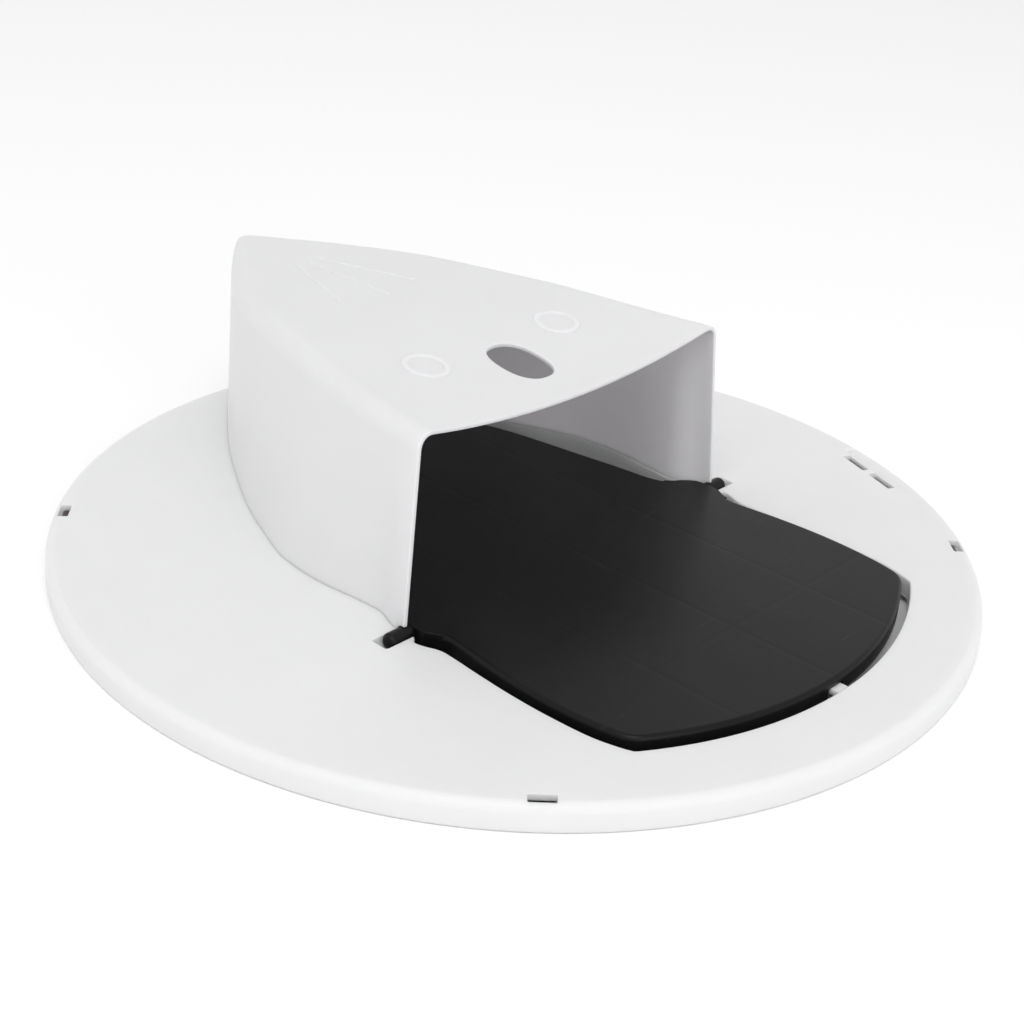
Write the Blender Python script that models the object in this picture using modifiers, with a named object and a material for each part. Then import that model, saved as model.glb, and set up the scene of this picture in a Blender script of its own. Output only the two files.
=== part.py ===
"""Flip-lid trap for a 20 litre pail: a round lid, a hood that stands on it, and a see-saw flap.

Metres, +Z up. The origin is the centre of the circle on which the lid's turned-down edge stands.
The hood's nose points to +Y, the long front half of the flap to -Y. The flap turns about the
line through its two moulded pins, which runs along X.
"""
from math import atan2, cos, pi, radians, sin

import bmesh
import bpy
from mathutils import Matrix, Vector

MM = 0.001

# ---------------------------------------------------------------- driving dimensions (mm)
GAP = 0.3                     # clearance between pieces that touch

LID_R = 158.0                 # outer radius of the lid
LID_H = 9.0                   # height of the turned-down edge
LID_T = 2.2                   # thickness of the top plate and of the edge
LID_ROUND = 3.0               # rounding of the outer top edge
RING_R = 145.0                # inner radius of the locating ring under the plate
RING_T = 1.6
RING_Z = 3.6                  # its lower edge

FRONT_ARC = 134.0             # front edge of the opening, concentric with the lid
WALL_T = 1.8                  # turned-down wall round the opening
WALL_Z = 2.2                  # its lower edge

SNAP_R = 154.3                # snap slots
SNAP_L, SNAP_W = 8.2, 3.5
SNAP_ANGLES = (45.0, 135.0, 225.0, 315.0)

RAMP_ANGLE = -22.0            # pair of slots for the ramp's hooks
RAMP_R0, RAMP_R1 = 146.3, 150.2
RAMP_L, RAMP_GAP = 13.0, 3.3
RECESS_L, RECESS_D = 38.0, 0.9

PIVOT_Y = -24.0               # hinge line
PIVOT_Z = 8.2
PIN_R = 2.9
PIN_END = 85.5
GROOVE_R = 3.3
GROOVE_END = 88.5

FLAP_TOP = 11.2
FLAP_T = 1.9                  # plate
FLAP_EDGE_Z = 4.8             # lower edge of the flap's turned-down edge
FLAP_EDGE_T = 1.7
FLAP_ROUND = 1.6
FLAP_FRONT = 131.0            # radius of the flap's front edge about the lid's centre
NOTCH_W = 8.0                 # notch in the front edge for the stop lug
LUG_W = 5.4
LUG_IN = 122.0                # how far in the stop lug reaches
LUG_TOP, LUG_T = 8.3, 2.2
RIBS_X = (-39.5, 0.0, 39.5)   # ribs under the flap
RIBS_Y = (-92.0, -24.0, 35.0)

HOOD_T = 1.4
HOOD_Z = LID_H + GAP          # the hood's foot
ROOF_Z = LID_H + 65.5
DIP = 7.0                     # the roof's hollow at the middle of the mouth
DIP_FROM = 45.0               # it fades out this far back

# Stations of the half outlines, mouth to nose: (x, y)
HOOD_FOOT = ((78.9, -24.5), (77.6, -18.5), (74.6, -10.0), (74.9, 0.0), (76.5, 18.0),
             (74.8, 36.0), (69.0, 52.0), (60.0, 72.0), (48.5, 92.0), (36.5, 110.5),
             (22.5, 129.0), (9.0, 144.5), (0.0, 151.0))
HOOD_ROOF = ((73.4, -22.0), (72.9, -16.0), (71.6, -8.5), (70.3, 0.0), (66.8, 18.0),
             (62.6, 36.0), (58.0, 52.0), (51.8, 72.0), (44.6, 92.0), (34.4, 110.5),
             (20.5, 128.5), (7.6, 142.5), (0.0, 148.0))
TENON_AT, TENON_TURN, TENON_L = (75.3, -14.7), 22.8, 4.4
HOOKS = (((56.2, 75.0), 29.9), ((45.0, 94.0), 32.5))   # snap hooks: (x, y) on the opening, turn
HOOK_L = 9.4
HOOK_PROFILE = ((-1.9, 0.9), (1.0, 0.9), (1.0, 1.9), (-0.4, 1.9), (-0.4, 9.9), (1.2, 9.9),
                (0.95, 15.3), (-1.9, 14.6))            # outward, up
HOOD_ROUND = (6.5, 7.0, 2.6)  # rounding between wall and roof: mouth, sides, nose

# Flap side stations, front corner to tail: (x, y)
FLAP_SIDE = ((71.8, -110.0), (74.3, -99.0), (75.7, -84.0), (75.7, -70.0), (74.6, -56.0),
             (73.0, -44.6), (72.4, -38.0), (73.6, -33.4), (75.5, -29.2), (75.5, -21.0),
             (72.0, -16.5), (67.0, -12.8), (64.2, -6.0), (62.6, 6.0), (59.6, 24.0),
             (56.0, 46.0), (52.0, 62.0), (46.0, 77.0), (35.0, 90.0), (18.0, 97.0), (0.0, 99.0))

# Opening side stations, front corner to back: (x, y)
OPEN_SIDE = ((74.8, -109.2), (77.3, -99.0), (78.4, -84.0), (78.4, -70.0), (77.6, -56.0),
             (76.6, -44.0), (76.6, -38.5), (78.7, -33.0), (79.2, -29.6), (77.0, -27.4), (76.6, -20.5),
             (73.6, -15.0), (72.2, -9.0), (72.7, 0.0), (74.3, 18.0), (72.6, 36.0), (66.8, 52.0), (57.8, 72.0), (46.3, 92.0),
             (36.0, 107.0), (21.0, 119.0), (0.0, 124.0))


# ---------------------------------------------------------------- helpers
def clean_scene():
    for old in list(bpy.data.objects):
        bpy.data.objects.remove(old, do_unlink=True)


def new_collection(name):
    group = bpy.data.collections.new(name)
    bpy.context.scene.collection.children.link(group)
    return group


def material(name, rgb, rough):
    mat = bpy.data.materials.new(name)
    mat.use_nodes = True
    bsdf = mat.node_tree.nodes["Principled BSDF"]
    bsdf.inputs["Base Color"].default_value = (*rgb, 1.0)
    bsdf.inputs["Roughness"].default_value = rough
    bsdf.inputs["Metallic"].default_value = 0.0
    return mat


def spline(stations, steps):
    """Catmull-Rom curve through the stations, steps points to a span.

    A curve that ends at x = 0 crosses it at a right angle, so its mirror image continues it.
    """
    pts = [Vector(p) for p in stations]
    before, last = pts[-2], pts[-1]
    after = Vector((-before.x, before.y)) if last.x == 0.0 else last * 2 - before
    ext = [pts[0] * 2 - pts[1]] + pts + [after]
    out = []
    for i in range(1, len(ext) - 2):
        p0, p1, p2, p3 = ext[i - 1:i + 3]
        for k in range(steps):
            t = k / steps
            out.append(0.5 * ((2 * p1) + (p2 - p0) * t + (2 * p0 - 5 * p1 + 4 * p2 - p3) * t * t
                              + (3 * p1 - p0 - 3 * p2 + p3) * t ** 3))
    out.append(pts[-1].copy())
    return out


def arc_front(radius, end, steps):
    """Points of an arc about the origin from the middle of the front to the side point end."""
    last = atan2(end[0], -end[1])
    return [Vector((radius * sin(last * k / steps), -radius * cos(last * k / steps)))
            for k in range(steps)]


def mirrored(half):
    """Closed outline from a half that starts and ends at x = 0, counter-clockwise from above."""
    left = [Vector((-p.x, p.y)) for p in reversed(half) if p.x > 0.05]
    return list(half) + left


def corner(points, at, radius, steps):
    """Round the outline's corner nearest to index at with a quadratic blend over radius."""
    p = points[at]
    a = b = at
    while (points[a] - p).length < radius and a > 0:
        a -= 1
    while (points[b] - p).length < radius and b < len(points) - 1:
        b += 1
    start, stop = points[a], points[b]
    mid = [start * (1 - t) ** 2 + p * 2 * t * (1 - t) + stop * t * t
           for t in (k / steps for k in range(1, steps))]
    return points[:a + 1] + mid + points[b:]


def inset(outline, distance):
    """Outline moved inwards by distance (outwards if negative)."""
    n = len(outline)
    out = []
    for i, p in enumerate(outline):
        d = (outline[(i + 1) % n] - outline[i - 1]).normalized()
        out.append(p + Vector((-d.y, d.x)) * distance)
    return out


def prism(name, outline, z0, z1):
    """Flat outline (mm) as a filled 2D curve, extruded from z0 to z1, as a welded mesh object."""
    data = bpy.data.curves.new(name, "CURVE")
    data.dimensions = "2D"
    data.fill_mode = "BOTH"
    data.extrude = (z1 - z0) * 0.5 * MM
    line = data.splines.new("POLY")
    line.points.add(len(outline) - 1)
    for point, p in zip(line.points, outline):
        point.co = (p[0] * MM, p[1] * MM, 0.0, 1.0)
    line.use_cyclic_u = True
    curve = bpy.data.objects.new(name + "_outline", data)
    bpy.context.scene.collection.objects.link(curve)
    curve.location = (0.0, 0.0, (z0 + z1) * 0.5 * MM)
    bpy.context.view_layer.update()
    graph = bpy.context.evaluated_depsgraph_get()
    mesh = bpy.data.meshes.new_from_object(curve.evaluated_get(graph))
    mesh.transform(curve.matrix_world)
    bpy.data.objects.remove(curve, do_unlink=True)
    return from_mesh(name, mesh, flat_caps=True)


def from_mesh(name, mesh, flat_caps=False):
    bm = bmesh.new()
    bm.from_mesh(mesh)
    bmesh.ops.remove_doubles(bm, verts=bm.verts, dist=0.00001)
    if flat_caps:
        bmesh.ops.dissolve_limit(bm, angle_limit=radians(0.5), verts=bm.verts, edges=bm.edges)
    bmesh.ops.recalc_face_normals(bm, faces=bm.faces)
    bm.to_mesh(mesh)
    bm.free()
    mesh.name = name
    obj = bpy.data.objects.new(name, mesh)
    bpy.context.scene.collection.objects.link(obj)
    return obj


def block(name, size, place, turn=0.0):
    """Box of size (mm) centred at place (mm), turned about Z by turn degrees."""
    bm = bmesh.new()
    bmesh.ops.create_cube(bm, size=1.0)
    bmesh.ops.scale(bm, vec=Vector(size) * MM, verts=bm.verts)
    bmesh.ops.rotate(bm, cent=(0, 0, 0), matrix=Matrix.Rotation(radians(turn), 3, "Z"),
                     verts=bm.verts)
    bmesh.ops.translate(bm, vec=Vector(place) * MM, verts=bm.verts)
    mesh = bpy.data.meshes.new(name)
    bm.to_mesh(mesh)
    bm.free()
    return from_mesh(name, mesh)


def rod(name, r1, r2, start, stop, axis, segments, end_round=0.0):
    """Cylinder or cone along axis X or Z from start to stop (mm), with its far rim rounded."""
    start, stop = Vector(start), Vector(stop)
    bm = bmesh.new()
    bmesh.ops.create_cone(bm, cap_ends=True, segments=segments, radius1=r1 * MM, radius2=r2 * MM,
                          depth=(stop - start).length * MM)
    if end_round:
        rim = [e for e in bm.edges if min(v.co.z for v in e.verts) > 0]
        bmesh.ops.bevel(bm, geom=rim, offset=end_round * MM, segments=3, profile=0.5,
                        affect="EDGES")
    if axis == "X":
        sign = 1.0 if stop.x > start.x else -1.0
        bmesh.ops.rotate(bm, cent=(0, 0, 0), matrix=Matrix.Rotation(sign * pi / 2, 3, "Y"),
                         verts=bm.verts)
    bmesh.ops.translate(bm, vec=(start + stop) * 0.5 * MM, verts=bm.verts)
    mesh = bpy.data.meshes.new(name)
    bm.to_mesh(mesh)
    bm.free()
    return from_mesh(name, mesh)


def combine(target, tool, how, cutters):
    """Boolean of tool into target, with tool kept as a hidden cutter."""
    mod = target.modifiers.new(how.lower() + "_" + tool.name, "BOOLEAN")
    mod.operation = how
    mod.solver = "EXACT"
    mod.object = tool
    tool.hide_render = True
    tool.display_type = "WIRE"
    for group in list(tool.users_collection):
        group.objects.unlink(tool)
    cutters.objects.link(tool)


def finish(obj, group, mat, smooth=32.0):
    for old in list(obj.users_collection):
        old.objects.unlink(obj)
    group.objects.link(obj)
    obj.data.materials.clear()
    obj.data.materials.append(mat)
    obj.data.shade_smooth()
    obj.data.set_sharp_from_angle(angle=radians(smooth))


# ---------------------------------------------------------------- outlines
def opening_outline():
    side = spline(OPEN_SIDE, 3)
    front = arc_front(FRONT_ARC, OPEN_SIDE[0], 12)
    half = corner(front + side, len(front), 3.2, 4)
    return mirrored(half)


def flap_outline():
    side = spline(FLAP_SIDE, 3)
    front = arc_front(FLAP_FRONT, FLAP_SIDE[0], 12)
    half = corner(front + side, len(front), 4.0, 5)
    return mirrored(half)


def hole_outline(count):
    """Oval of the roof hole, a little squarer than an ellipse."""
    points = []
    for k in range(count):
        c, s = cos(2 * pi * k / count), sin(2 * pi * k / count)
        full = (abs(c) ** 2.4 + abs(s) ** 2.4) ** (-1 / 2.4)
        points.append(Vector((8.9 * c * full, 4.5 + 12.0 * s * full)))
    return points


def roof_dip(x, y):
    """Depth of the roof's hollow: full at the mouth, easing out to nothing at DIP_FROM."""
    t = min(1.0, max(0.0, (y + 22.0) / (DIP_FROM + 22.0)))
    return DIP * max(0.0, 1.0 - (x / 72.0) ** 2) * (1.0 - t * t * (3.0 - 2.0 * t))


# ---------------------------------------------------------------- lid
def make_lid(cutters):
    r, h, t, f = LID_R, LID_H, LID_T, LID_ROUND
    profile = [(0.0, h), (60.0, h), (r - f, h)]
    profile += [(r - f + f * sin(a), h - f + f * cos(a))
                for a in (radians(d) for d in (22.5, 45.0, 67.5))]
    profile += [(r, h - f), (r, 0.0), (r - t, 0.0), (r - t, h - t - 1.0), (r - t - 1.0, h - t),
                (RING_R + RING_T, h - t), (RING_R + RING_T, RING_Z), (RING_R, RING_Z),
                (RING_R, h - t), (60.0, h - t), (0.0, h - t)]
    mesh = bpy.data.meshes.new("lid")
    mesh.from_pydata([(x * MM, 0.0, z * MM) for x, z in profile],
                     [(i, i + 1) for i in range(len(profile) - 1)], [])
    lid = bpy.data.objects.new("lid", mesh)
    bpy.context.scene.collection.objects.link(lid)
    turn = lid.modifiers.new("turn", "SCREW")
    turn.axis = "Z"
    turn.angle = 2 * pi
    turn.steps = turn.render_steps = 96
    turn.use_merge_vertices = True
    turn.merge_threshold = 0.00001
    turn.use_normal_calculate = True
    bpy.context.view_layer.update()
    graph = bpy.context.evaluated_depsgraph_get()
    turned = bpy.data.meshes.new_from_object(lid.evaluated_get(graph))
    bpy.data.objects.remove(lid, do_unlink=True)
    lid = from_mesh("lid", turned)

    outline = opening_outline()
    wall = prism("opening_wall", inset(outline, -WALL_T), WALL_Z, LID_H - 0.8)
    combine(lid, wall, "UNION", cutters)
    for sign in (-1.0, 1.0):
        cradle = block("cradle_%s" % ("r" if sign > 0 else "l"), (15.2, 12.0, 6.2),
                       (sign * (GROOVE_END - 5.8), PIVOT_Y, 5.1))
        combine(lid, cradle, "UNION", cutters)
    for angle in SNAP_ANGLES:
        a = radians(angle)
        hook = block("snap_hook_%d" % angle, (4.0, 8.0, 2.0),
                     ((SNAP_R + 0.6) * cos(a), (SNAP_R + 0.6) * sin(a), 2.2), angle)
        combine(lid, hook, "UNION", cutters)
    hole = prism("opening", outline, -5.0, 20.0)
    combine(lid, hole, "DIFFERENCE", cutters)
    lug = block("stop_lug", (LUG_W, FRONT_ARC + 0.8 - LUG_IN, LUG_T),
                (0.0, -(FRONT_ARC + 0.8 + LUG_IN) / 2, LUG_TOP - LUG_T / 2))
    combine(lid, lug, "UNION", cutters)
    for sign in (-1.0, 1.0):
        groove = rod("groove_%s" % ("r" if sign > 0 else "l"), GROOVE_R, GROOVE_R,
                     (sign * 70.0, PIVOT_Y, PIVOT_Z), (sign * GROOVE_END, PIVOT_Y, PIVOT_Z),
                     "X", 20)
        combine(lid, groove, "DIFFERENCE", cutters)
        slot = block("tenon_slot_%s" % ("r" if sign > 0 else "l"), (1.5, TENON_L + 0.6, 10.0),
                     (sign * TENON_AT[0], TENON_AT[1], LID_H - 3.4 + 5.0), sign * TENON_TURN)
        combine(lid, slot, "DIFFERENCE", cutters)
    for angle in SNAP_ANGLES:
        a = radians(angle)
        slot = block("snap_slot_%d" % angle, (SNAP_W, SNAP_L, 6.0),
                     (SNAP_R * cos(a), SNAP_R * sin(a), LID_H), angle)
        combine(lid, slot, "DIFFERENCE", cutters)
    a = radians(RAMP_ANGLE)
    mid = (RAMP_R0 + RAMP_R1) / 2
    for sign in (-1.0, 1.0):
        off = sign * (RAMP_L + RAMP_GAP) / 2
        slot = block("ramp_slot_%s" % ("b" if sign > 0 else "a"),
                     (RAMP_R1 - RAMP_R0, RAMP_L, 12.0),
                     (mid * cos(a) - off * sin(a), mid * sin(a) + off * cos(a), LID_H),
                     RAMP_ANGLE)
        combine(lid, slot, "DIFFERENCE", cutters)
    recess = block("ramp_recess", (14.0, RECESS_L, 2 * RECESS_D),
                   ((RAMP_R1 + 7.0) * cos(a), (RAMP_R1 + 7.0) * sin(a), LID_H), RAMP_ANGLE)
    combine(lid, recess, "DIFFERENCE", cutters)
    return lid


# ---------------------------------------------------------------- hood
def hood_section(foot, roof, inward, share):
    """Points of half a section, from the foot up the wall and over to the middle of the roof.

    inward is the roof outline's normal at this section, towards the inside.
    """
    mouth, side, nose = HOOD_ROUND
    if share < 0.25:
        rnd = mouth + (side - mouth) * (share / 0.25)
    elif share < 0.7:
        rnd = side
    else:
        rnd = side + (nose - side) * (share - 0.7) / 0.3
    points = []
    top = ROOF_Z - rnd
    for s in (-0.03, 1 / 3, 2 / 3, 1.0):
        points.append(Vector((foot.x + (roof.x - foot.x) * s, foot.y + (roof.y - foot.y) * s,
                              HOOD_Z + (top - HOOD_Z) * s)))
    for k in range(1, 4):
        a = radians(30.0 * k)
        move = inward * (rnd * (1 - cos(a)))
        points.append(Vector((max(0.0, roof.x + move.x), roof.y + move.y, top + rnd * sin(a))))
    inner = points[-1]
    for k in range(1, 7):
        points.append(Vector((inner.x * (1 - k / 6), inner.y, ROOF_Z)))
    low = []
    for p in points:
        fall = roof_dip(p.x, p.y) * max(0.0, min(1.0, (p.z - (ROOF_Z - 8.0)) / 8.0))
        low.append(Vector((p.x, p.y, p.z - fall)))
    return low


def make_hood(cutters):
    foot = spline(HOOD_FOOT, 3)
    roof = spline(HOOD_ROOF, 3)
    around = roof + [Vector((-roof[-2].x, roof[-2].y))]
    rows = []
    for i in range(len(roof)):
        ahead = around[i + 1] - around[max(0, i - 1)]
        inward = Vector((-1.0, 0.0)) if i == 0 else Vector((-ahead.y, ahead.x)).normalized()
        rows.append(hood_section(foot[i], roof[i], inward, i / (len(foot) - 1)))
    bm = bmesh.new()
    grid = []
    for row in rows:
        right = [bm.verts.new(p * MM) for p in row]
        left = [bm.verts.new(Vector((-p.x, p.y, p.z)) * MM) for p in row[:-1]]
        grid.append(right + left[::-1])
    for a, b in zip(grid, grid[1:]):
        for i in range(len(a) - 1):
            bm.faces.new((a[i], b[i], b[i + 1], a[i + 1]))
    bmesh.ops.remove_doubles(bm, verts=bm.verts, dist=0.00002)
    bmesh.ops.recalc_face_normals(bm, faces=bm.faces)
    top = max(bm.faces, key=lambda face: face.calc_center_median().z)
    if top.normal.z < 0:
        bmesh.ops.reverse_faces(bm, faces=bm.faces)
    mesh = bpy.data.meshes.new("hood")
    bm.to_mesh(mesh)
    bm.free()
    hood = bpy.data.objects.new("hood", mesh)
    bpy.context.scene.collection.objects.link(hood)
    shell = hood.modifiers.new("wall", "SOLIDIFY")
    shell.thickness = HOOD_T * MM
    shell.offset = -1.0
    shell.use_even_offset = True
    shell.use_rim = True

    level = block("foot_trim", (400.0, 400.0, 12.0), (0.0, 0.0, HOOD_Z - 6.0))
    combine(hood, level, "DIFFERENCE", cutters)
    oval = hole_outline(28)
    hole = prism("roof_hole", oval, ROOF_Z - 20.0, ROOF_Z + 10.0)
    combine(hood, hole, "DIFFERENCE", cutters)
    for sign in (-1.0, 1.0):
        side = "r" if sign > 0 else "l"
        saddle = PIN_R + 0.4
        notch = rod("pin_notch_" + side, saddle, saddle, (sign * 66.0, PIVOT_Y, PIVOT_Z),
                    (sign * 90.0, PIVOT_Y, PIVOT_Z), "X", 24)
        combine(hood, notch, "DIFFERENCE", cutters)
        tenon = block("tenon_" + side, (0.9, TENON_L, 4.0),
                      (sign * TENON_AT[0], TENON_AT[1], HOOD_Z - 1.0), sign * TENON_TURN)
        combine(hood, tenon, "UNION", cutters)
        for i, (at, turn) in enumerate(HOOKS):
            hook = prism("hook_%s%d" % (side, i), HOOK_PROFILE, -HOOK_L / 2, HOOK_L / 2)
            hook.data.transform(Matrix.Translation(Vector((sign * at[0], at[1], 0.0)) * MM)
                                @ Matrix.Rotation(radians(turn if sign > 0 else 180.0 - turn), 4, "Z")
                                @ Matrix.Rotation(pi / 2, 4, "X"))
            combine(hood, hook, "UNION", cutters)
    return hood


# ---------------------------------------------------------------- flap
def make_flap(cutters):
    outline = flap_outline()
    flap = prism("flap", outline, FLAP_EDGE_Z - 6.0, FLAP_TOP)
    soft = flap.modifiers.new("edge", "BEVEL")
    soft.width = FLAP_ROUND * MM
    soft.segments = 3
    soft.limit_method = "ANGLE"
    soft.angle_limit = radians(60.0)
    for sign in (-1.0, 1.0):
        pin = rod("pin_%s" % ("r" if sign > 0 else "l"), PIN_R, PIN_R,
                  (sign * 66.0, PIVOT_Y, PIVOT_Z), (sign * PIN_END, PIVOT_Y, PIVOT_Z), "X", 20,
                  end_round=1.1)
        combine(flap, pin, "UNION", cutters)
    deep = FLAP_TOP - FLAP_T
    hollow = prism("flap_hollow", inset(outline, FLAP_EDGE_T), FLAP_EDGE_Z - 12.0, deep)
    for i, x in enumerate(RIBS_X):
        rib = block("rib_%d" % i, (1.3, 222.0, 3.5), (x, -7.0, deep - 1.25))
        combine(hollow, rib, "DIFFERENCE", cutters)
    for i, y in enumerate(RIBS_Y):
        rib = block("cross_rib_%d" % i, (160.0, 1.3, 3.0), (0.0, y, deep - 0.83))
        combine(hollow, rib, "DIFFERENCE", cutters)
    combine(flap, hollow, "DIFFERENCE", cutters)
    trim = block("flap_trim", (240.0, 320.0, 12.0), (0.0, -20.0, FLAP_EDGE_Z - 6.0))
    combine(flap, trim, "DIFFERENCE", cutters)
    notch = block("notch", (NOTCH_W, 12.0, 12.0), (0.0, -FLAP_FRONT, LUG_TOP + GAP - 6.0))
    combine(flap, notch, "DIFFERENCE", cutters)
    return flap


def settle(obj):
    """Keep the evaluated shape as the object's own mesh, free of modifiers."""
    bpy.context.view_layer.update()
    graph = bpy.context.evaluated_depsgraph_get()
    mesh = bpy.data.meshes.new_from_object(obj.evaluated_get(graph))
    obj.modifiers.clear()
    bm = bmesh.new()
    bm.from_mesh(mesh)
    bmesh.ops.remove_doubles(bm, verts=bm.verts, dist=0.00001)
    bmesh.ops.dissolve_degenerate(bm, edges=bm.edges, dist=0.00001)
    bm.to_mesh(mesh)
    bm.free()
    obj.data = mesh


def set_origin(obj, place):
    """Move the object's origin to place (mm) without moving its shape."""
    spot = Vector(place) * MM
    obj.data.transform(Matrix.Translation(-spot))
    obj.location = spot


def main():
    clean_scene()
    parts = new_collection("flip_lid_trap")
    cutters = new_collection("cutters")
    white = material("white_polypropylene", (0.80, 0.80, 0.80), 0.45)
    hood_white = material("white_polypropylene_hood", (0.80, 0.805, 0.82), 0.42)
    black = material("black_polypropylene", (0.018, 0.018, 0.019), 0.38)

    lid = make_lid(cutters)
    hood = make_hood(cutters)
    flap = make_flap(cutters)
    for obj, mat in ((lid, white), (hood, hood_white), (flap, black)):
        settle(obj)
        finish(obj, parts, mat)
    set_origin(flap, (0.0, PIVOT_Y, PIVOT_Z))


main()
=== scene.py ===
"""Looks of the flip-lid pail trap: fine meshes for the lid, the hood and the flap, their plastics,
a pale floor, soft studio light and the camera. Metres, in the CAD frame; lengths below are in mm.
"""

from math import atan2, cos, pi, radians, sin

import bmesh
import bpy
from mathutils import Matrix, Vector


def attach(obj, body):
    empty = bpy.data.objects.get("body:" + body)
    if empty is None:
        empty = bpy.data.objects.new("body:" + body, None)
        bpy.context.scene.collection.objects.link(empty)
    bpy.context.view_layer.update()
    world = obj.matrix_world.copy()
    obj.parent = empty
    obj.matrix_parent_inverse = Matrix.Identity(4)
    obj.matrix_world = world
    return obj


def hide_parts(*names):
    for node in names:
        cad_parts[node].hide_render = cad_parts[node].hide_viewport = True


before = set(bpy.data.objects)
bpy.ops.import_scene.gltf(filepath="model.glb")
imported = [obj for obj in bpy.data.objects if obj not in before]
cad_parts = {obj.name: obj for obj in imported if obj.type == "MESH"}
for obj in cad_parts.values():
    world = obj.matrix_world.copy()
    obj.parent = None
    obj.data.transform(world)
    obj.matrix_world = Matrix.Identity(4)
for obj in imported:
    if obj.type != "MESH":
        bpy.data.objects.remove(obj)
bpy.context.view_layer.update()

MM = 0.001

# ---------------------------------------------------------------- dimensions, as in part.py (mm)
GAP = 0.3
LID_R, LID_H, LID_T, LID_ROUND = 158.0, 9.0, 2.2, 3.0
RING_R, RING_T, RING_Z = 145.0, 1.6, 3.6
FRONT_ARC, WALL_T, WALL_Z = 134.0, 1.8, 2.2
SNAP_R, SNAP_L, SNAP_W = 154.3, 8.2, 3.5
SNAP_ANGLES = (45.0, 135.0, 225.0, 315.0)
RAMP_ANGLE, RAMP_R0, RAMP_R1, RAMP_L, RAMP_GAP = -22.0, 146.3, 150.2, 13.0, 3.3
RECESS_L, RECESS_D = 38.0, 0.9
PIVOT_Y, PIVOT_Z, PIN_R, PIN_END = -24.0, 8.2, 2.9, 85.5
GROOVE_R, GROOVE_END = 3.3, 88.5
FLAP_TOP, FLAP_T, FLAP_EDGE_Z, FLAP_EDGE_T, FLAP_ROUND = 11.2, 1.9, 4.8, 1.7, 1.6
FLAP_FRONT, NOTCH_W, LUG_W, LUG_IN, LUG_TOP, LUG_T = 131.0, 8.0, 5.4, 122.0, 8.3, 2.2
RIBS_X, RIBS_Y = (-39.5, 0.0, 39.5), (-92.0, -24.0, 35.0)
HOOD_T, HOOD_Z, ROOF_Z = 1.4, LID_H + GAP, LID_H + 65.5
DIP, DIP_FROM = 7.0, 45.0

HOOD_FOOT = ((78.9, -24.5), (77.6, -18.5), (74.6, -10.0), (74.9, 0.0), (76.5, 18.0),
             (74.8, 36.0), (69.0, 52.0), (60.0, 72.0), (48.5, 92.0), (36.5, 110.5),
             (22.5, 129.0), (9.0, 144.5), (0.0, 151.0))
HOOD_ROOF = ((73.4, -22.0), (72.9, -16.0), (71.6, -8.5), (70.3, 0.0), (66.8, 18.0),
             (62.6, 36.0), (58.0, 52.0), (51.8, 72.0), (44.6, 92.0), (34.4, 110.5),
             (20.5, 128.5), (7.6, 142.5), (0.0, 148.0))
TENON_AT, TENON_TURN, TENON_L = (75.3, -14.7), 22.8, 4.4
HOOKS = (((56.2, 75.0), 29.9), ((45.0, 94.0), 32.5))
HOOK_L = 9.4
HOOK_PROFILE = ((-1.9, 0.9), (1.0, 0.9), (1.0, 1.9), (-0.4, 1.9), (-0.4, 9.9), (1.2, 9.9),
                (0.95, 15.3), (-1.9, 14.6))
FLAP_SIDE = ((71.8, -110.0), (74.3, -99.0), (75.7, -84.0), (75.7, -70.0), (74.6, -56.0),
             (73.0, -44.6), (72.4, -38.0), (73.6, -33.4), (75.5, -29.2), (75.5, -21.0),
             (72.0, -16.5), (67.0, -12.8), (64.2, -6.0), (62.6, 6.0), (59.6, 24.0),
             (56.0, 46.0), (52.0, 62.0), (46.0, 77.0), (35.0, 90.0), (18.0, 97.0), (0.0, 99.0))
EARS = (-35.7, -12.0)         # the flap's top edge is crisp between these, over its two ears
OPEN_SIDE = ((74.8, -109.2), (77.3, -99.0), (78.4, -84.0), (78.4, -70.0), (77.6, -56.0),
             (76.6, -44.0), (76.6, -38.5), (78.7, -33.0), (79.2, -29.6), (77.0, -27.4), (76.6, -20.5),
             (73.6, -15.0), (72.2, -9.0), (72.7, 0.0), (74.3, 18.0), (72.6, 36.0), (66.8, 52.0), (57.8, 72.0), (46.3, 92.0),
             (36.0, 107.0), (21.0, 119.0), (0.0, 124.0))


# ---------------------------------------------------------------- curves and outlines
def spline(stations, steps):
    """Catmull-Rom curve; one that ends at x = 0 crosses it at a right angle."""
    pts = [Vector(p) for p in stations]
    after = Vector((-pts[-2].x, pts[-2].y)) if pts[-1].x == 0.0 else pts[-1] * 2 - pts[-2]
    ext = [pts[0] * 2 - pts[1]] + pts + [after]
    out = []
    for i in range(1, len(ext) - 2):
        p0, p1, p2, p3 = ext[i - 1:i + 3]
        for k in range(steps):
            t = k / steps
            out.append(0.5 * ((2 * p1) + (p2 - p0) * t + (2 * p0 - 5 * p1 + 4 * p2 - p3) * t * t
                              + (3 * p1 - p0 - 3 * p2 + p3) * t ** 3))
    out.append(pts[-1].copy())
    return out


def arc_front(radius, end, steps):
    last = atan2(end[0], -end[1])
    return [Vector((radius * sin(last * k / steps), -radius * cos(last * k / steps)))
            for k in range(steps)]


def mirrored(half):
    return list(half) + [Vector((-p.x, p.y)) for p in reversed(half) if p.x > 0.02]


def corner(points, at, radius, steps):
    p = points[at]
    a = b = at
    while (points[a] - p).length < radius and a > 0:
        a -= 1
    while (points[b] - p).length < radius and b < len(points) - 1:
        b += 1
    start, stop = points[a], points[b]
    mid = [start * (1 - t) ** 2 + p * 2 * t * (1 - t) + stop * t * t
           for t in (k / steps for k in range(1, steps))]
    return points[:a + 1] + mid + points[b:]


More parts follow.
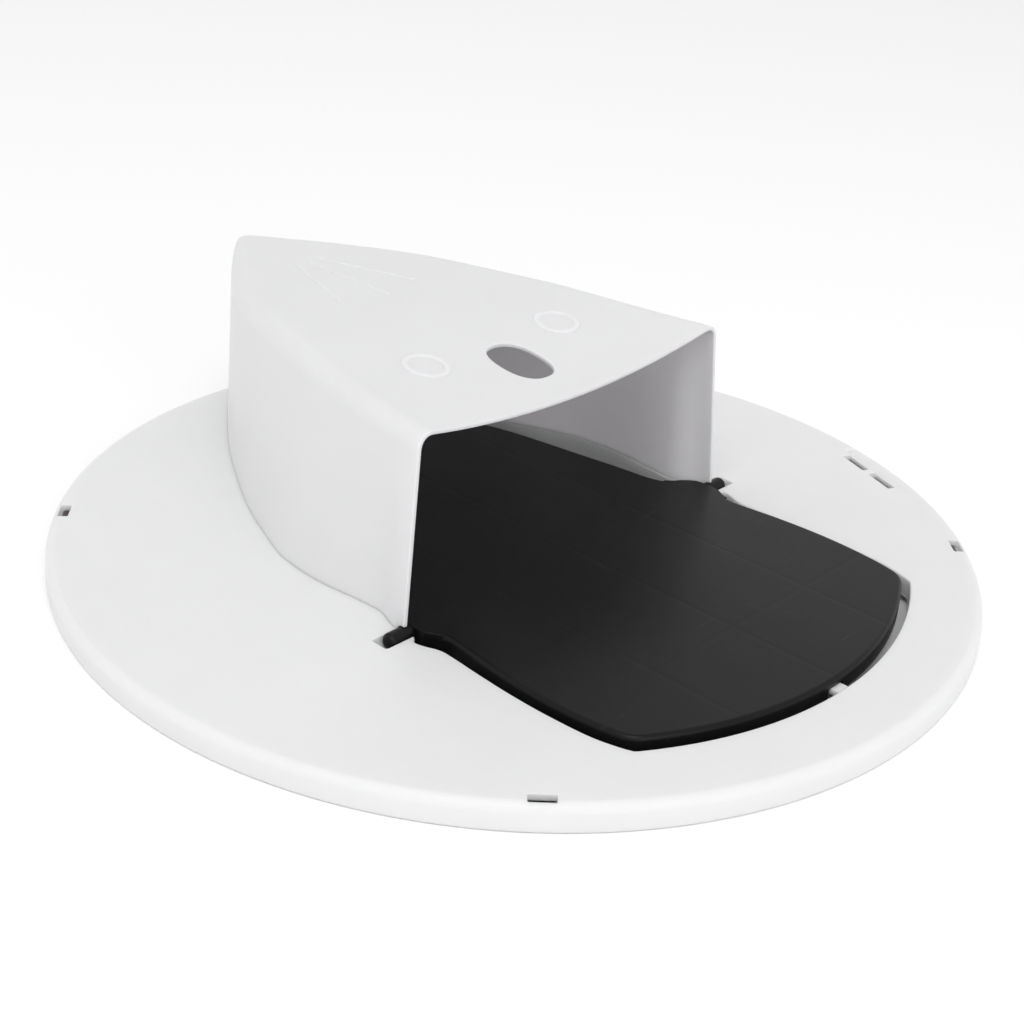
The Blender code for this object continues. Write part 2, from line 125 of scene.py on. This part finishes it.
def inset(outline, distance):
    """Closed counter-clockwise outline moved inwards by distance."""
    n = len(outline)
    out = []
    for i, p in enumerate(outline):
        d = (outline[(i + 1) % n] - outline[i - 1]).normalized()
        out.append(p + Vector((-d.y, d.x)) * distance)
    return out


def even(outline, gap):
    """The closed outline resampled to about gap between points."""
    n = len(outline)
    lengths = [0.0]
    for i in range(n):
        lengths.append(lengths[-1] + (outline[(i + 1) % n] - outline[i]).length)
    count = max(8, round(lengths[-1] / gap))
    out, j = [], 0
    for k in range(count):
        s = lengths[-1] * k / count
        while lengths[j + 1] < s:
            j += 1
        span = lengths[j + 1] - lengths[j]
        t = 0.0 if span < 1e-9 else (s - lengths[j]) / span
        out.append(outline[j].lerp(outline[(j + 1) % n], t))
    return out


def opening_outline():
    side = spline(OPEN_SIDE, 8)
    front = arc_front(FRONT_ARC, OPEN_SIDE[0], 30)
    return even(mirrored(corner(front + side, len(front), 2.5, 10)), 1.2)


def flap_outline():
    side = spline(FLAP_SIDE, 8)
    front = arc_front(FLAP_FRONT, FLAP_SIDE[0], 30)
    return even(mirrored(corner(front + side, len(front), 2.8, 10)), 1.0)


def rounded_rect(length, width, radius, place, turn, steps=4):
    """Rectangle of size length along its own X, width along Y, at place, turned by degrees."""
    pts = []
    for cx, cy, a0 in ((1, -1, -90), (1, 1, 0), (-1, 1, 90), (-1, -1, 180)):
        for k in range(steps + 1):
            a = radians(a0 + 90.0 * k / steps)
            pts.append(Vector((cx * (length / 2 - radius) + radius * cos(a),
                               cy * (width / 2 - radius) + radius * sin(a))))
    c, s = cos(radians(turn)), sin(radians(turn))
    return [Vector((p.x * c - p.y * s + place[0], p.x * s + p.y * c + place[1])) for p in pts]


# ---------------------------------------------------------------- mesh helpers
def make(name, bm):
    bmesh.ops.remove_doubles(bm, verts=bm.verts, dist=0.000004)
    bmesh.ops.recalc_face_normals(bm, faces=bm.faces)
    mesh = bpy.data.meshes.new(name)
    bm.to_mesh(mesh)
    bm.free()
    obj = bpy.data.objects.new(name, mesh)
    bpy.context.scene.collection.objects.link(obj)
    return obj


def stack(name, rings):
    """Closed body through rings of 3D points (mm), with both ends capped."""
    bm = bmesh.new()
    rows = [[bm.verts.new(Vector(p) * MM) for p in ring] for ring in rings]
    for a, b in zip(rows, rows[1:]):
        n = len(a)
        for i in range(n):
            bm.faces.new((a[i], a[(i + 1) % n], b[(i + 1) % n], b[i]))
    bm.faces.new(rows[0][::-1])
    bm.faces.new(rows[-1])
    return make(name, bm)


def at_z(outline, z):
    return [Vector((p.x, p.y, z)) for p in outline]


def prism(name, outline, z0, z1, low=0.0, high=0.0, steps=5):
    """Extruded outline with its lower and upper edges rounded by low and high."""
    rings = []
    if low > 0.0:
        for k in range(steps + 1):
            a = radians(90.0 * (1 - k / steps))
            rings.append(at_z(inset(outline, low * (1 - cos(a))), z0 + low * (1 - sin(a))))
    else:
        rings.append(at_z(outline, z0))
    if high > 0.0:
        for k in range(steps + 1):
            a = radians(90.0 * k / steps)
            rings.append(at_z(inset(outline, high * (1 - cos(a))), z1 - high * (1 - sin(a))))
    else:
        rings.append(at_z(outline, z1))
    return stack(name, rings)


def hole_cutter(name, outline, z0, surface, flare, top=6.0, steps=5, share=None):
    """Cutter whose sides widen just under surface, which leaves a rounded edge there.

    share(point) scales the flare along the outline.
    """
    flares = [flare * (share(p) if share else 1.0) for p in outline]
    out = inset(outline, -1.0)
    rings = [at_z(outline, z0)]
    for k in range(steps + 1):
        a = radians(90.0 * k / steps)
        rings.append([Vector((p.x + (o.x - p.x) * f * (1 - cos(a)), p.y + (o.y - p.y) * f * (1 - cos(a)),
                              surface - f + (f + 0.008) * sin(a)))
                      for p, o, f in zip(outline, out, flares)])
    rings.append([Vector((p.x + (o.x - p.x) * (f + 0.05), p.y + (o.y - p.y) * (f + 0.05), surface + top))
                  for p, o, f in zip(outline, out, flares)])
    return stack(name, rings)


def soft_block(name, size, place, turn=0.0, rounding=0.4, segments=3):
    bm = bmesh.new()
    bmesh.ops.create_cube(bm, size=1.0)
    bmesh.ops.scale(bm, vec=Vector(size), verts=bm.verts)
    if rounding:
        bmesh.ops.bevel(bm, geom=list(bm.edges), offset=rounding, segments=segments, profile=0.5,
                        affect="EDGES")
    bmesh.ops.rotate(bm, cent=(0, 0, 0), matrix=Matrix.Rotation(radians(turn), 3, "Z"),
                     verts=bm.verts)
    bmesh.ops.translate(bm, vec=Vector(place), verts=bm.verts)
    bmesh.ops.scale(bm, vec=(MM, MM, MM), verts=bm.verts)
    return make(name, bm)


def turned_x(name, profile, y, z, segments=48):
    """Body turned about a line along X: profile is (x, radius) from one end to the other."""
    rings = []
    for x, r in profile:
        rings.append([Vector((x, y + r * cos(2 * pi * k / segments), z + r * sin(2 * pi * k / segments)))
                      for k in range(segments)])
    return stack(name, rings)


def combine(target, tool, how):
    mod = target.modifiers.new(how.lower(), "BOOLEAN")
    mod.operation = how
    mod.solver = "EXACT"
    mod.object = tool
    bpy.context.view_layer.update()
    graph = bpy.context.evaluated_depsgraph_get()
    mesh = bpy.data.meshes.new_from_object(target.evaluated_get(graph))
    target.modifiers.clear()
    old = target.data
    target.data = mesh
    bpy.data.meshes.remove(old)
    bpy.data.objects.remove(tool, do_unlink=True)


def face_out(obj):
    """Turn the faces of a closed mesh outwards."""
    bm = bmesh.new()
    bm.from_mesh(obj.data)
    if bm.calc_volume(signed=True) < 0.0:
        bmesh.ops.reverse_faces(bm, faces=bm.faces)
        bm.to_mesh(obj.data)
    bm.free()


def tidy(obj, angle):
    """Shade smooth with the edges over angle degrees sharp."""
    obj.data.shade_smooth()
    obj.data.set_sharp_from_angle(angle=radians(angle))
    weigh = obj.modifiers.new("normals", "WEIGHTED_NORMAL")
    weigh.keep_sharp = True
    weigh.weight = 60


# ---------------------------------------------------------------- lid
def ring_points(r, z, count=288):
    return [Vector((r * cos(2 * pi * k / count), r * sin(2 * pi * k / count), z)) for k in range(count)]


def make_lid():
    r, h, t, f = LID_R, LID_H, LID_T, LID_ROUND
    profile = [(r - f, h)]
    profile += [(r - f + f * sin(radians(a)), h - f + f * cos(radians(a)))
                for a in (11, 22, 34, 45, 56, 68, 79)]
    profile += [(r, h - f), (r, 0.5)]
    profile += [(r - 0.5 + 0.5 * cos(radians(a)), 0.5 - 0.5 * sin(radians(a))) for a in (30, 60, 90)]
    profile += [(r - t + 0.3, 0.0), (r - t, 0.3), (r - t, h - t - 1.0), (r - t - 0.3, h - t - 0.35),
                (r - t - 1.0, h - t), (RING_R + RING_T, h - t), (RING_R + RING_T, RING_Z + 0.3),
                (RING_R + RING_T - 0.3, RING_Z), (RING_R + 0.3, RING_Z), (RING_R, RING_Z + 0.3),
                (RING_R, h - t)]
    lid = stack("lid_shell", [ring_points(x, z) for x, z in profile])

    outline = opening_outline()
    combine(lid, prism("wall", inset(outline, -WALL_T), WALL_Z, LID_H - 0.8, low=0.4), "UNION")
    for sign in (-1.0, 1.0):
        combine(lid, soft_block("cradle", (15.2, 12.0, 6.2), (sign * (GROOVE_END - 5.8), PIVOT_Y, 5.1)),
                "UNION")
    for angle in SNAP_ANGLES:
        a = radians(angle)
        combine(lid, soft_block("hook", (4.0, 8.0, 2.0), ((SNAP_R + 0.6) * cos(a),
                                                        (SNAP_R + 0.6) * sin(a), 2.2), angle), "UNION")
    # the edge is crisp where the hood stands on it
    combine(lid, hole_cutter("opening", outline, -5.0, LID_H, 0.55,
                             share=lambda p: max(0.12, min(1.0, (-20.0 - p.y) / 6.0))), "DIFFERENCE")
    combine(lid, soft_block("lug", (LUG_W, FRONT_ARC + 0.8 - LUG_IN, LUG_T),
                            (0.0, -(FRONT_ARC + 0.8 + LUG_IN) / 2, LUG_TOP - LUG_T / 2),
                            rounding=0.6), "UNION")
    for sign in (-1.0, 1.0):
        groove = turned_x("groove", [(sign * 70.0, GROOVE_R), (sign * (GROOVE_END - 0.8), GROOVE_R),
                                     (sign * (GROOVE_END - 0.25), GROOVE_R - 0.25),
                                     (sign * GROOVE_END, GROOVE_R - 0.8)], PIVOT_Y, PIVOT_Z)
        combine(lid, groove, "DIFFERENCE")
        rect = rounded_rect(GROOVE_END - 70.0, 2 * GROOVE_R, 1.0,
                            (sign * (GROOVE_END + 70.0) / 2, PIVOT_Y), 0.0)
        combine(lid, hole_cutter("groove_top", rect, PIVOT_Z, LID_H, 0.3, top=3.0), "DIFFERENCE")
        slot = rounded_rect(1.5, TENON_L + 0.6, 0.3, (sign * TENON_AT[0], TENON_AT[1]),
                            sign * TENON_TURN)
        combine(lid, prism("tenon_slot", slot, LID_H - 3.4, LID_H + 4.0), "DIFFERENCE")
    for angle in SNAP_ANGLES:
        a = radians(angle)
        slot = rounded_rect(SNAP_W, SNAP_L, 0.5, (SNAP_R * cos(a), SNAP_R * sin(a)), angle)
        combine(lid, hole_cutter("snap_slot", slot, LID_H - 3.0, LID_H, 0.25), "DIFFERENCE")
    a = radians(RAMP_ANGLE)
    recess = rounded_rect(14.0, RECESS_L, 0.8, ((RAMP_R1 + 7.0) * cos(a), (RAMP_R1 + 7.0) * sin(a)),
                          RAMP_ANGLE)
    combine(lid, hole_cutter("recess", recess, LID_H - RECESS_D, LID_H, 0.85, steps=6), "DIFFERENCE")
    mid = (RAMP_R0 + RAMP_R1) / 2
    for sign in (-1.0, 1.0):
        off = sign * (RAMP_L + RAMP_GAP) / 2
        slot = rounded_rect(RAMP_R1 - RAMP_R0, RAMP_L, 0.5,
                            (mid * cos(a) - off * sin(a), mid * sin(a) + off * cos(a)), RAMP_ANGLE)
        combine(lid, hole_cutter("ramp_slot", slot, LID_H - 6.0, LID_H, 0.3), "DIFFERENCE")
    tidy(lid, 34.0)
    return lid


# ---------------------------------------------------------------- hood
def roof_dip(x, y):
    t = min(1.0, max(0.0, (y + 22.0) / (DIP_FROM + 22.0)))
    return DIP * max(0.0, 1.0 - (x / 72.0) ** 2) * (1.0 - t * t * (3.0 - 2.0 * t))


def rounding_at(y):
    """Rounding between wall and roof: small at the mouth, soft along the sides, small at the nose."""
    keys = ((-22.0, 6.5), (0.0, 7.0), (110.0, 7.0), (132.0, 5.0), (148.0, 2.6))
    for (y0, a), (y1, b) in zip(keys, keys[1:]):
        if y <= y1:
            t = max(0.0, min(1.0, (y - y0) / (y1 - y0)))
            return a + (b - a) * t * t * (3 - 2 * t)
    return keys[-1][1]


def drop(p):
    fall = roof_dip(p.x, p.y) * max(0.0, min(1.0, (p.z - (ROOF_Z - 8.0)) / 8.0))
    return Vector((p.x, p.y, p.z - fall))


def make_hood():
    steps = 12
    foot = spline(HOOD_FOOT, steps)
    roof = spline(HOOD_ROOF, steps)
    n = len(roof)
    # inward normals of the roof outline's right half
    full = roof + [Vector((-p.x, p.y)) for p in reversed(roof[:-1])]
    normals = []
    for i in range(n):
        d = (full[i + 1] - full[max(0, i - 1)]).normalized()
        normals.append(Vector((-d.y, d.x)))
    normals[0] = Vector((-1.0, 0.0))
    normals[1] = (normals[0] + normals[1]).normalized()
    bm = bmesh.new()
    grid = []
    wall_steps, round_steps, roof_steps = 16, 8, 26
    for i in range(n):
        f, r, inward = foot[i], roof[i], normals[i]
        rnd = rounding_at(r.y)
        top = ROOF_Z - rnd
        row = []
        for k in range(wall_steps + 1):
            s = k / wall_steps
            row.append(Vector((f.x + (r.x - f.x) * s, f.y + (r.y - f.y) * s, HOOD_Z + (top - HOOD_Z) * s)))
        for k in range(1, round_steps + 1):
            a = radians(90.0 * k / round_steps)
            move = rnd * (1 - cos(a))
            x = max(0.0, r.x + inward.x * move)
            row.append(Vector((x, r.y + inward.y * move, top + rnd * sin(a))))
        last = row[-1]
        for k in range(1, roof_steps + 1):
            row.append(Vector((last.x * (1 - k / roof_steps), last.y, ROOF_Z)))
        row = [drop(p) for p in row]
        right = [bm.verts.new(p * MM) for p in row]
        left = [bm.verts.new(Vector((-p.x, p.y, p.z)) * MM) for p in row[:-1]]
        grid.append(right + left[::-1])
    for a, b in zip(grid, grid[1:]):
        for i in range(len(a) - 1):
            bm.faces.new((a[i], b[i], b[i + 1], a[i + 1]))
    bmesh.ops.remove_doubles(bm, verts=bm.verts, dist=0.00001)
    bmesh.ops.recalc_face_normals(bm, faces=bm.faces)
    top = max(bm.faces, key=lambda face: face.calc_center_median().z)
    if top.normal.z < 0:
        bmesh.ops.reverse_faces(bm, faces=bm.faces)
    mesh = bpy.data.meshes.new("hood_shell")
    bm.to_mesh(mesh)
    bm.free()
    hood = bpy.data.objects.new("hood_shell", mesh)
    bpy.context.scene.collection.objects.link(hood)
    shell = hood.modifiers.new("wall", "SOLIDIFY")
    shell.thickness = HOOD_T * MM
    shell.offset = -1.0
    shell.use_even_offset = True
    shell.use_rim = True
    bpy.context.view_layer.update()
    graph = bpy.context.evaluated_depsgraph_get()
    hood.data = bpy.data.meshes.new_from_object(hood.evaluated_get(graph))
    hood.modifiers.clear()
    bm = bmesh.new()
    bm.from_mesh(hood.data)
    for v in bm.verts:
        if v.co.z < (HOOD_Z + 0.05) * MM:
            v.co.z = (LID_H + 0.04) * MM
    rim = [e for e in bm.edges if e.calc_face_angle(0.0) > radians(55.0)
           and max(v.co.y for v in e.verts) < -4.0 * MM and max(v.co.z for v in e.verts) > 10.0 * MM]
    bmesh.ops.bevel(bm, geom=rim, offset=0.3 * MM, segments=3, profile=0.5, affect="EDGES",
                    clamp_overlap=False)
    bm.to_mesh(hood.data)
    bm.free()
    face_out(hood)

    oval = []
    for k in range(72):
        c, s = cos(2 * pi * k / 72), sin(2 * pi * k / 72)
        full = (abs(c) ** 2.4 + abs(s) ** 2.4) ** (-1 / 2.4)
        oval.append(Vector((8.9 * c * full, 4.5 + 12.0 * s * full)))
    rings = [at_z(oval, ROOF_Z - 20.0)]
    flare = 0.5
    for k in range(6):
        a = radians(18.0 * k)
        ring = inset(oval, -flare * (1 - cos(a)))
        rings.append([Vector((p.x, p.y, ROOF_Z - roof_dip(p.x, p.y) - flare + (flare + 0.01) * sin(a)))
                      for p in ring])
    rings.append(at_z(inset(oval, -flare - 0.05), ROOF_Z + 6.0))
    combine(hood, stack("roof_hole", rings), "DIFFERENCE")

    for sign in (-1.0, 1.0):
        saddle = PIN_R + 0.3
        combine(hood, turned_x("pin_notch", [(sign * 66.0, saddle), (sign * 90.0, saddle)],
                               PIVOT_Y, PIVOT_Z), "DIFFERENCE")
        tenon = soft_block("tenon", (0.9, TENON_L, 4.0),
                           (sign * TENON_AT[0], TENON_AT[1], HOOD_Z - 1.0), sign * TENON_TURN, 0.2)
        combine(hood, tenon, "UNION")
        for at, turn in HOOKS:
            section = [Vector(p) for p in HOOK_PROFILE]
            rings = [[Vector((p.x, -y, p.y)) for p in section] for y in (-HOOK_L / 2, HOOK_L / 2)]
            hook = stack("hook", rings)
            hook.data.transform(Matrix.Translation(Vector((sign * at[0], at[1], 0.0)) * MM)
                                @ Matrix.Rotation(radians(turn if sign > 0 else 180.0 - turn), 4, "Z"))
            combine(hood, hook, "UNION")

        # raised ring on the roof
        cx, cy = sign * 31.85, 16.73
        rings = []
        for k in range(11):
            a = pi * k / 10
            rr, up = 7.05 - 1.2 * cos(a), 0.74 * sin(a) ** 0.8 - 0.1
            rings.append([Vector((cx + rr * cos(t), cy + rr * sin(t),
                                  ROOF_Z - roof_dip(cx + rr * cos(t), cy + rr * sin(t)) + up))
                          for t in (2 * pi * j / 64 for j in range(64))])
        low = []
        for rr in (8.25, 5.85):
            low.append([Vector((cx + rr * cos(t), cy + rr * sin(t), ROOF_Z - roof_dip(cx, cy) - 1.3))
                        for t in (2 * pi * j / 64 for j in range(64))])
        bm = bmesh.new()
        loop = rings + low
        rows = [[bm.verts.new(p * MM) for p in ring] for ring in loop]
        for a, b in zip(rows, rows[1:] + rows[:1]):
            for i in range(64):
                bm.faces.new((a[i], a[(i + 1) % 64], b[(i + 1) % 64], b[i]))
        combine(hood, make("roof_ring", bm), "UNION")

    # three thin raised lines that fan out behind the nose
    for (x0, y0), (x1, y1) in (((0.0, 109.0), (0.0, 68.0)), ((5.6, 110.0), (18.0, 73.0)),
                               ((-5.6, 110.0), (-18.0, 73.0))):
        start, stop = Vector((x0, y0)), Vector((x1, y1))
        along = (stop - start).normalized()
        across = Vector((-along.y, along.x))
        line = []
        for side in (1, -1):
            for k in range(9):
                a = radians(-90 + 22.5 * k)
                base, half = (stop, 0.6) if side > 0 else (start, 0.5)
                line.append(base + along * side * half * cos(a) + across * side * half * sin(a))
        combine(hood, prism("line", line, ROOF_Z - 0.7, ROOF_Z + 0.32, high=0.3, steps=4), "UNION")
    tidy(hood, 34.0)
    return hood


# ---------------------------------------------------------------- flap
def make_flap():
    outline = flap_outline()
    flap = prism("flap_plate", outline, FLAP_EDGE_Z, FLAP_TOP, low=0.35, high=FLAP_ROUND, steps=7)
    edge = [p for p in spline(FLAP_SIDE, 8) if EARS[0] < p.y < EARS[1]]
    edge = [Vector((p.x - 0.015, p.y)) for p in edge]
    for sign in (-1.0, 1.0):
        ear = [Vector((60.0, edge[0].y))] + edge + [Vector((60.0, edge[-1].y))]
        ear = [Vector((sign * p.x, p.y)) for p in ear][::int(sign)]
        combine(flap, prism("ear", ear, 9.1, FLAP_TOP + 0.012, high=0.4, steps=4), "UNION")
    for sign in (-1.0, 1.0):
        end = PIN_END
        profile = [(66.0, PIN_R), (79.0, PIN_R)]
        profile += [(end - 2.0 + 2.0 * sin(radians(a)), PIN_R - 2.0 + 2.0 * cos(radians(a)))
                    for a in (0, 15, 30, 45, 60, 75, 90)]
        pin = turned_x("pin", [(sign * x, rr) for x, rr in profile], PIVOT_Y, PIVOT_Z)
        combine(flap, pin, "UNION")
    deep = FLAP_TOP - FLAP_T
    hollow = prism("flap_hollow", inset(outline, FLAP_EDGE_T), FLAP_EDGE_Z - 12.0, deep, high=0.4)
    for x in RIBS_X:
        combine(hollow, soft_block("rib", (1.3, 222.0, 3.5), (x, -7.0, deep - 1.25), rounding=0.3),
                "DIFFERENCE")
    for y in RIBS_Y:
        combine(hollow, soft_block("cross_rib", (160.0, 1.3, 3.0), (0.0, y, deep - 0.83), rounding=0.3),
                "DIFFERENCE")
    combine(flap, hollow, "DIFFERENCE")
    notch = soft_block("notch", (NOTCH_W, 12.0, 12.0), (0.0, -FLAP_FRONT, LUG_TOP + GAP - 6.0), rounding=0.6)
    combine(flap, notch, "DIFFERENCE")
    tidy(flap, 34.0)
    return flap


# ---------------------------------------------------------------- materials
def plastic(name, rgb, rough, grain, wave, marks, specular=0.5, sinks=0.0, glow=0.0):
    """Moulded plastic: fine grain, slow unevenness of the moulded skin, and faint scuffs."""
    mat = bpy.data.materials.new(name)
    mat.use_nodes = True
    tree = mat.node_tree
    nodes, links = tree.nodes, tree.links
    bsdf = nodes["Principled BSDF"]
    bsdf.inputs["IOR"].default_value = 1.49
    bsdf.inputs["Specular IOR Level"].default_value = specular
    if glow:
        # light passes a few millimetres into the translucent plastic
        bsdf.inputs["Subsurface Weight"].default_value = glow
        bsdf.inputs["Subsurface Radius"].default_value = (1.0, 0.93, 0.98)
        bsdf.inputs["Subsurface Scale"].default_value = 0.004
    coords = nodes.new("ShaderNodeTexCoord")

    def noise(scale, detail, roughness, stretch=None, turn=0.0):
        vector = coords.outputs["Object"]
        if stretch:
            move = nodes.new("ShaderNodeMapping")
            move.inputs["Scale"].default_value = stretch
            move.inputs["Rotation"].default_value = (0.0, 0.0, radians(turn))
            links.new(vector, move.inputs["Vector"])
            vector = move.outputs["Vector"]
        tex = nodes.new("ShaderNodeTexNoise")
        tex.inputs["Scale"].default_value = scale
        tex.inputs["Detail"].default_value = detail
        tex.inputs["Roughness"].default_value = roughness
        links.new(vector, tex.inputs["Vector"])
        return tex.outputs["Fac"]

    def ramp(value, low, high, a, b):
        span = nodes.new("ShaderNodeMapRange")
        span.inputs["From Min"].default_value = low
        span.inputs["From Max"].default_value = high
        span.inputs["To Min"].default_value = a
        span.inputs["To Max"].default_value = b
        links.new(value, span.inputs["Value"])
        return span.outputs["Result"]

    def maths(how, a, b):
        node = nodes.new("ShaderNodeMath")
        node.operation = how
        for i, value in enumerate((a, b)):
            if isinstance(value, float):
                node.inputs[i].default_value = value
            else:
                links.new(value, node.inputs[i])
        return node.outputs[0]

    cloud = noise(9.0, 3.0, 0.5)
    patch = noise(38.0, 4.0, 0.55)
    scuff_a = ramp(noise(55.0, 2.0, 0.5, (1.0, 14.0, 6.0), 32.0), 0.70, 0.78, 0.0, 1.0)
    scuff_b = ramp(noise(60.0, 2.0, 0.5, (14.0, 1.0, 6.0), 20.0), 0.71, 0.79, 0.0, 1.0)
    scuffs = maths("MULTIPLY", maths("MAXIMUM", scuff_a, scuff_b), ramp(cloud, 0.45, 0.62, 0.0, 1.0))
    dots = nodes.new("ShaderNodeTexVoronoi")
    dots.inputs["Scale"].default_value = 75.0
    dots.inputs["Randomness"].default_value = 1.0
    links.new(coords.outputs["Object"], dots.inputs["Vector"])
    specks = ramp(dots.outputs["Distance"], 0.022, 0.034, 1.0, 0.0)
    scuffs = maths("MAXIMUM", scuffs, specks)
    tone = nodes.new("ShaderNodeMix")
    tone.data_type = "RGBA"
    tone.inputs["A"].default_value = (*[c * (1.0 - marks["tone"]) for c in rgb], 1.0)
    tone.inputs["B"].default_value = (*[min(1.0, c * (1.0 + marks["tone"])) for c in rgb], 1.0)
    links.new(ramp(patch, 0.3, 0.7, 0.0, 1.0), tone.inputs["Factor"])
    marked = nodes.new("ShaderNodeMix")
    marked.data_type = "RGBA"
    links.new(tone.outputs["Result"], marked.inputs["A"])
    marked.inputs["B"].default_value = (*marks["rgb"], 1.0)
    links.new(maths("MULTIPLY", scuffs, marks["strength"]), marked.inputs["Factor"])
    links.new(marked.outputs["Result"], bsdf.inputs["Base Color"])
    rough_mix = maths("ADD", ramp(patch, 0.3, 0.7, rough - 0.03, rough + 0.04),
                      maths("MULTIPLY", scuffs, 0.12))
    links.new(rough_mix, bsdf.inputs["Roughness"])

    fine = nodes.new("ShaderNodeBump")
    fine.inputs["Strength"].default_value = grain
    fine.inputs["Distance"].default_value = 0.0002
    links.new(noise(1400.0, 3.0, 0.6), fine.inputs["Height"])
    slow = nodes.new("ShaderNodeBump")
    slow.inputs["Strength"].default_value = wave
    slow.inputs["Distance"].default_value = 0.002
    links.new(noise(14.0, 2.0, 0.4), slow.inputs["Height"])
    links.new(slow.outputs["Normal"], fine.inputs["Normal"])
    if sinks:
        # shallow sink lines in the skin above the ribs
        split = nodes.new("ShaderNodeSeparateXYZ")
        links.new(coords.outputs["Object"], split.inputs["Vector"])
        lines = None
        for value, at in ((maths("ABSOLUTE", split.outputs["X"], 0.0), 0.0395),
                          (split.outputs["X"], 0.0), (split.outputs["Y"], -0.092)):
            off = maths("ABSOLUTE", maths("SUBTRACT", value, at), 0.0)
            line = ramp(off, 0.0001, 0.0016, 0.0, 1.0)
            lines = line if lines is None else maths("MINIMUM", lines, line)
        sunk = nodes.new("ShaderNodeBump")
        sunk.inputs["Strength"].default_value = sinks
        sunk.inputs["Distance"].default_value = 0.0002
        links.new(lines, sunk.inputs["Height"])
        links.new(sunk.outputs["Normal"], slow.inputs["Normal"])
    links.new(fine.outputs["Normal"], bsdf.inputs["Normal"])
    return mat


def dress(obj, mat, body, node):
    obj.data.materials.clear()
    obj.data.materials.append(mat)
    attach(obj, body)
    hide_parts(node)


lid = make_lid()
hood = make_hood()
flap = make_flap()
dress(lid, plastic("white_lid", (0.80, 0.80, 0.80), 0.46, 0.10, 0.10,
                   {"tone": 0.008, "rgb": (0.84, 0.84, 0.84), "strength": 0.25}, glow=0.6),
      "lid", "lid")
dress(hood, plastic("white_hood", (0.79, 0.785, 0.80), 0.42, 0.08, 0.08,
                    {"tone": 0.008, "rgb": (0.84, 0.84, 0.85), "strength": 0.20}, glow=0.6),
      "lid", "hood")
dress(flap, plastic("black_flap", (0.0030, 0.0030, 0.0032), 0.34, 0.16, 0.16,
                    {"tone": 0.10, "rgb": (0.10, 0.10, 0.10), "strength": 0.35}, 0.22, 0.15),
      "flap", "flap")


# ---------------------------------------------------------------- floor, light, camera
def make_floor():
    bm = bmesh.new()
    bmesh.ops.create_grid(bm, x_segments=8, y_segments=8, size=6.0)
    mesh = bpy.data.meshes.new("studio_floor")
    bm.to_mesh(mesh)
    bm.free()
    floor = bpy.data.objects.new("studio_floor", mesh)
    bpy.context.scene.collection.objects.link(floor)
    floor.location.z = -0.0002
    mat = bpy.data.materials.new("studio_floor")
    mat.use_nodes = True
    bsdf = mat.node_tree.nodes["Principled BSDF"]
    bsdf.inputs["Base Color"].default_value = (1.0, 1.0, 1.0, 1.0)
    bsdf.inputs["Roughness"].default_value = 0.9
    bsdf.inputs["Specular IOR Level"].default_value = 0.1
    mesh.materials.append(mat)


def area(name, place, aim, size, power, rgb=(1.0, 1.0, 1.0)):
    data = bpy.data.lights.new(name, "AREA")
    data.shape = "DISK"
    data.size = size
    data.energy = power
    data.color = rgb
    obj = bpy.data.objects.new(name, data)
    bpy.context.scene.collection.objects.link(obj)
    obj.location = place
    obj.rotation_euler = (Vector(aim) - Vector(place)).to_track_quat("-Z", "Y").to_euler()
    return obj


make_floor()
world = bpy.data.worlds.new("studio")
bpy.context.scene.world = world
world.use_nodes = True
back = world.node_tree.nodes["Background"]
back.inputs["Color"].default_value = (1.0, 1.0, 1.0, 1.0)
back.inputs["Strength"].default_value = 0.80
area("key", (-0.85, -0.6, 1.75), (0.0, 0.0, 0.02), 1.4, 11.1)
area("front", (-0.5, -1.7, 0.7), (0.0, 0.0, 0.03), 1.0, 3.6)

FOCAL, AZIMUTH, ELEVATION, DISTANCE, TX, TY, ROLL = 1757.2, -0.8594, 0.4732, 3.9054, 0.0474, 0.0607, 0.0740
camera = bpy.data.cameras.new("camera")
camera.sensor_width = 36.0
camera.lens = FOCAL * 36.0 / 1024.0
camera.clip_start = 0.01
camera.clip_end = 50.0
view = bpy.data.objects.new("camera", camera)
bpy.context.scene.collection.objects.link(view)
backward = Vector((sin(AZIMUTH) * cos(ELEVATION), -cos(AZIMUTH) * cos(ELEVATION), sin(ELEVATION)))
right = (-backward).cross(Vector((0, 0, 1))).normalized()
up = right.cross(-backward)
right2 = right * cos(ROLL) + up * sin(ROLL)
up2 = up * cos(ROLL) - right * sin(ROLL)
eye = (Vector((TX, TY, 0.0)) + backward * DISTANCE) * (LID_R * MM) + Vector((0.0, 0.0, LID_H * MM))
view.matrix_world = Matrix(((right2.x, up2.x, backward.x, eye.x), (right2.y, up2.y, backward.y, eye.y),
                            (right2.z, up2.z, backward.z, eye.z), (0.0, 0.0, 0.0, 1.0)))
bpy.context.scene.camera = view
bpy.context.scene.view_settings.view_transform = "Standard"
